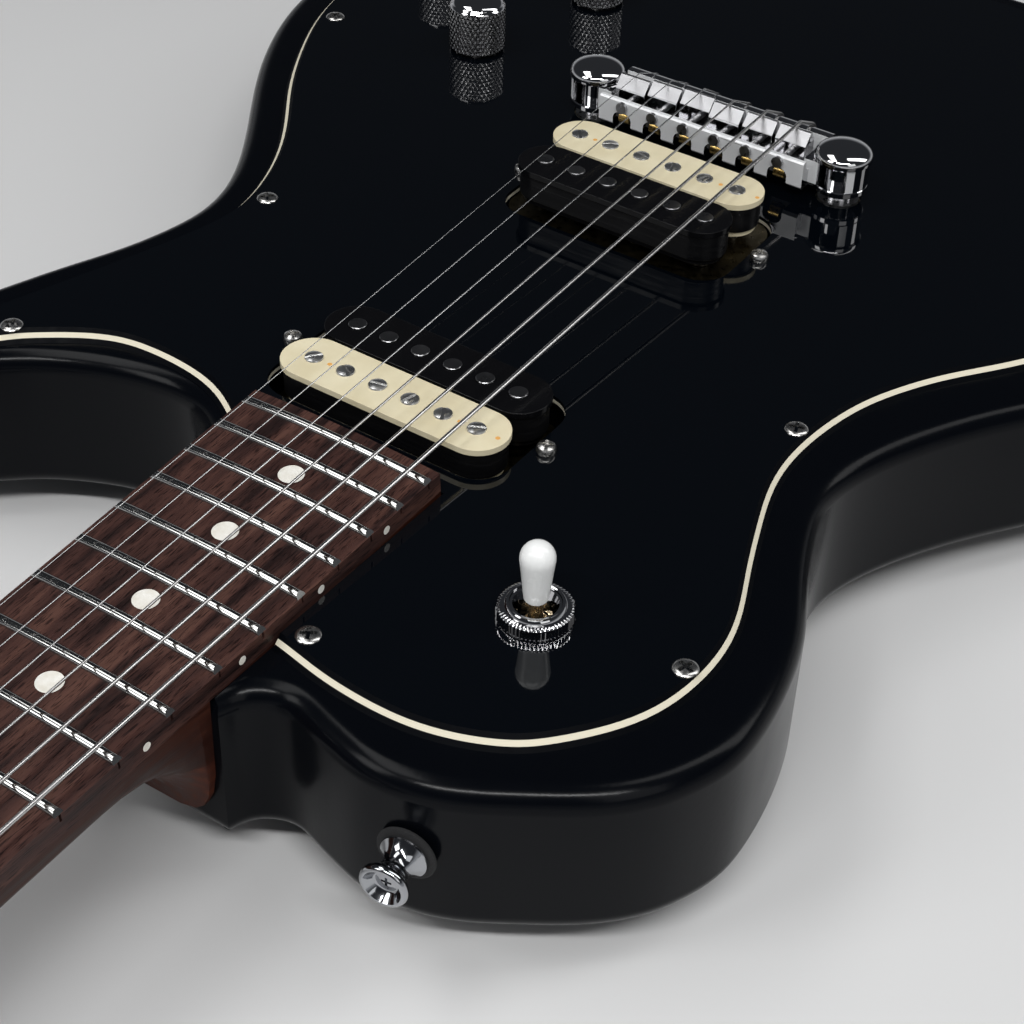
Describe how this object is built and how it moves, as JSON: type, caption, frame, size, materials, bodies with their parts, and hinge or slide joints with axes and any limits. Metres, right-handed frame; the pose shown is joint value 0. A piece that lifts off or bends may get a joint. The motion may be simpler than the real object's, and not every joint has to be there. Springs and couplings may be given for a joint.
{
  "type": "electric guitar",
  "caption": "Single-cutaway solid electric guitar with a full-face bevelled guard, double-coil pickups, wraparound bridge, toggle switch and domed knobs.",
  "frame": {"origin": "on the flat back, on the centre line, under the scale datum at the bridge", "axes": "+X to the treble side, +Y along the strings to the headstock, +Z out of the face"},
  "size_m": [0.3407, 0.979, 0.0779],
  "materials": {
    "body_lacquer": "satin black lacquer",
    "neck_mahogany": "satin",
    "board_rosewood": "oiled",
    "fret_nickel": "polished",
    "inlay_pearloid": "gloss",
    "nut_bone": "satin",
    "rod_steel": "plain",
    "guard_black": "gloss, cream ply shown in the bevel",
    "screw_nickel": "polished",
    "bobbin_cream": "satin",
    "bobbin_black": "satin",
    "coil_tape": "matt",
    "pole_steel": "plated",
    "plate_brass": "plain",
    "sleeve_rubber": "matt",
    "hardware_chrome": "polished",
    "part_steel": "plated",
    "string_steel": "wound and plain wire",
    "ball_brass": "plain",
    "tip_white": "gloss",
    "plate_black": "satin",
    "washer_felt": "felt"
  },
  "bodies": {
    "guitar": {"body": "body_lacquer", "neck": "neck_mahogany", "fingerboard": "board_rosewood", "frets": "fret_nickel", "position_markers": "inlay_pearloid", "nut": "nut_bone", "truss_rod": "rod_steel", "pickguard": "guard_black", "guard_screws": "screw_nickel", "pickup_height_screws": "screw_nickel", "pickup_sleeves": "sleeve_rubber", "bridge": "hardware_chrome", "bridge_studs": "hardware_chrome", "stud_bushings": "part_steel", "saddle_screws": "part_steel", "strings": "string_steel", "ball_ends": "ball_brass", "switch_frame": "part_steel", "switch_nut": "hardware_chrome", "pots": "part_steel", "control_nuts": "hardware_chrome", "output_jack": "hardware_chrome", "jack_plate": "plate_black", "strap_buttons": "hardware_chrome", "strap_washers": "washer_felt", "tuner_housings": "hardware_chrome", "tuner_bushings": "hardware_chrome"},
    "neck_pickup": {"neck_pickup_baseplate": "plate_brass", "neck_pickup_screw_bobbin": "bobbin_cream", "neck_pickup_slug_bobbin": "bobbin_black", "neck_pickup_coils": "coil_tape", "neck_pickup_poles": "pole_steel"},
    "bridge_pickup": {"bridge_pickup_baseplate": "plate_brass", "bridge_pickup_screw_bobbin": "bobbin_cream", "bridge_pickup_slug_bobbin": "bobbin_black", "bridge_pickup_coils": "coil_tape", "bridge_pickup_poles": "pole_steel"},
    "saddle_1": {"saddle_1": "hardware_chrome"},
    "saddle_2": {"saddle_2": "hardware_chrome"},
    "saddle_3": {"saddle_3": "hardware_chrome"},
    "saddle_4": {"saddle_4": "hardware_chrome"},
    "saddle_5": {"saddle_5": "hardware_chrome"},
    "saddle_6": {"saddle_6": "hardware_chrome"},
    "switch": {"switch_lever": "plate_brass", "switch_tip": "tip_white"},
    "neck_volume_knob": {"neck_volume_knob": "hardware_chrome"},
    "bridge_volume_knob": {"bridge_volume_knob": "hardware_chrome"},
    "tone_knob": {"tone_knob": "hardware_chrome"},
    "tuner_post_1": {"tuner_post_1": "hardware_chrome"},
    "tuner_button_1": {"tuner_button_1": "hardware_chrome"},
    "tuner_post_2": {"tuner_post_2": "hardware_chrome"},
    "tuner_button_2": {"tuner_button_2": "hardware_chrome"},
    "tuner_post_3": {"tuner_post_3": "hardware_chrome"},
    "tuner_button_3": {"tuner_button_3": "hardware_chrome"},
    "tuner_post_4": {"tuner_post_4": "hardware_chrome"},
    "tuner_button_4": {"tuner_button_4": "hardware_chrome"},
    "tuner_post_5": {"tuner_post_5": "hardware_chrome"},
    "tuner_button_5": {"tuner_button_5": "hardware_chrome"},
    "tuner_post_6": {"tuner_post_6": "hardware_chrome"},
    "tuner_button_6": {"tuner_button_6": "hardware_chrome"}
  },
  "joints": [
    {"name": "neck_pickup_height", "type": "slide", "parent": "guitar", "child": "neck_pickup", "axis": [0, 0, 1], "range_m": [-0.003, 0.0015], "deforming": ["pickup_sleeves"]},
    {"name": "bridge_pickup_height", "type": "slide", "parent": "guitar", "child": "bridge_pickup", "axis": [0, 0, 1], "range_m": [-0.003, 0.0015], "deforming": ["pickup_sleeves"]},
    {"name": "saddle_1_intonation", "type": "slide", "parent": "guitar", "child": "saddle_1", "axis": [0, 1, 0], "range_m": [-0.002, 0.002], "deforming": ["strings"]},
    {"name": "saddle_2_intonation", "type": "slide", "parent": "guitar", "child": "saddle_2", "axis": [0, 1, 0], "range_m": [-0.002, 0.002], "deforming": ["strings"]},
    {"name": "saddle_3_intonation", "type": "slide", "parent": "guitar", "child": "saddle_3", "axis": [0, 1, 0], "range_m": [-0.002, 0.002], "deforming": ["strings"]},
    {"name": "saddle_4_intonation", "type": "slide", "parent": "guitar", "child": "saddle_4", "axis": [0, 1, 0], "range_m": [-0.002, 0.002], "deforming": ["strings"]},
    {"name": "saddle_5_intonation", "type": "slide", "parent": "guitar", "child": "saddle_5", "axis": [0, 1, 0], "range_m": [-0.002, 0.002], "deforming": ["strings"]},
    {"name": "saddle_6_intonation", "type": "slide", "parent": "guitar", "child": "saddle_6", "axis": [0, 1, 0], "range_m": [-0.002, 0.002], "deforming": ["strings"]},
    {"name": "switch_throw", "type": "hinge", "parent": "guitar", "child": "switch", "pos_m": [-0.0693, 0.1939, 0.043], "axis": [0, 1, 0], "range_deg": [-13, 13]},
    {"name": "neck_volume_knob_turn", "type": "hinge", "parent": "guitar", "child": "neck_volume_knob", "pos_m": [0.094, -0.0167, 0.046], "axis": [0, 0, 1], "range_deg": [-140, 140]},
    {"name": "bridge_volume_knob_turn", "type": "hinge", "parent": "guitar", "child": "bridge_volume_knob", "pos_m": [0.133, -0.0532, 0.046], "axis": [0, 0, 1], "range_deg": [-140, 140]},
    {"name": "tone_knob_turn", "type": "hinge", "parent": "guitar", "child": "tone_knob", "pos_m": [0.0812, -0.0679, 0.046], "axis": [0, 0, 1], "range_deg": [-140, 140]},
    {"name": "tuner_button_1_turn", "type": "hinge", "parent": "guitar", "child": "tuner_button_1", "pos_m": [-0.022, 0.67969, -0.00211], "axis": [-1, 0, 0], "continuous": true},
    {"name": "tuner_post_1_turn", "type": "hinge", "parent": "guitar", "child": "tuner_post_1", "pos_m": [-0.022, 0.68114, 0.03006], "axis": [0, 0.045, 0.999], "continuous": true},
    {"name": "tuner_button_2_turn", "type": "hinge", "parent": "guitar", "child": "tuner_button_2", "pos_m": [-0.022, 0.71965, -0.00391], "axis": [-1, 0, 0], "continuous": true},
    {"name": "tuner_post_2_turn", "type": "hinge", "parent": "guitar", "child": "tuner_post_2", "pos_m": [-0.022, 0.7211, 0.02826], "axis": [0, 0.045, 0.999], "continuous": true},
    {"name": "tuner_button_3_turn", "type": "hinge", "parent": "guitar", "child": "tuner_button_3", "pos_m": [-0.022, 0.75961, -0.00571], "axis": [-1, 0, 0], "continuous": true},
    {"name": "tuner_post_3_turn", "type": "hinge", "parent": "guitar", "child": "tuner_post_3", "pos_m": [-0.022, 0.76106, 0.02646], "axis": [0, 0.045, 0.999], "continuous": true},
    {"name": "tuner_button_4_turn", "type": "hinge", "parent": "guitar", "child": "tuner_button_4", "pos_m": [0.022, 0.75961, -0.00571], "axis": [1, 0, 0], "continuous": true},
    {"name": "tuner_post_4_turn", "type": "hinge", "parent": "guitar", "child": "tuner_post_4", "pos_m": [0.022, 0.76106, 0.02646], "axis": [0, 0.045, 0.999], "continuous": true},
    {"name": "tuner_button_5_turn", "type": "hinge", "parent": "guitar", "child": "tuner_button_5", "pos_m": [0.022, 0.71965, -0.00391], "axis": [1, 0, 0], "continuous": true},
    {"name": "tuner_post_5_turn", "type": "hinge", "parent": "guitar", "child": "tuner_post_5", "pos_m": [0.022, 0.7211, 0.02826], "axis": [0, 0.045, 0.999], "continuous": true},
    {"name": "tuner_button_6_turn", "type": "hinge", "parent": "guitar", "child": "tuner_button_6", "pos_m": [0.022, 0.67969, -0.00211], "axis": [1, 0, 0], "continuous": true},
    {"name": "tuner_post_6_turn", "type": "hinge", "parent": "guitar", "child": "tuner_post_6", "pos_m": [0.022, 0.68114, 0.03006], "axis": [0, 0.045, 0.999], "continuous": true}
  ],
  "couplings": [
    {"joint": "tuner_post_1_turn", "follows": "tuner_button_1_turn", "ratio": 0.066667},
    {"joint": "tuner_post_2_turn", "follows": "tuner_button_2_turn", "ratio": 0.066667},
    {"joint": "tuner_post_3_turn", "follows": "tuner_button_3_turn", "ratio": 0.066667},
    {"joint": "tuner_post_4_turn", "follows": "tuner_button_4_turn", "ratio": 0.066667},
    {"joint": "tuner_post_5_turn", "follows": "tuner_button_5_turn", "ratio": 0.066667},
    {"joint": "tuner_post_6_turn", "follows": "tuner_button_6_turn", "ratio": 0.066667}
  ]
}
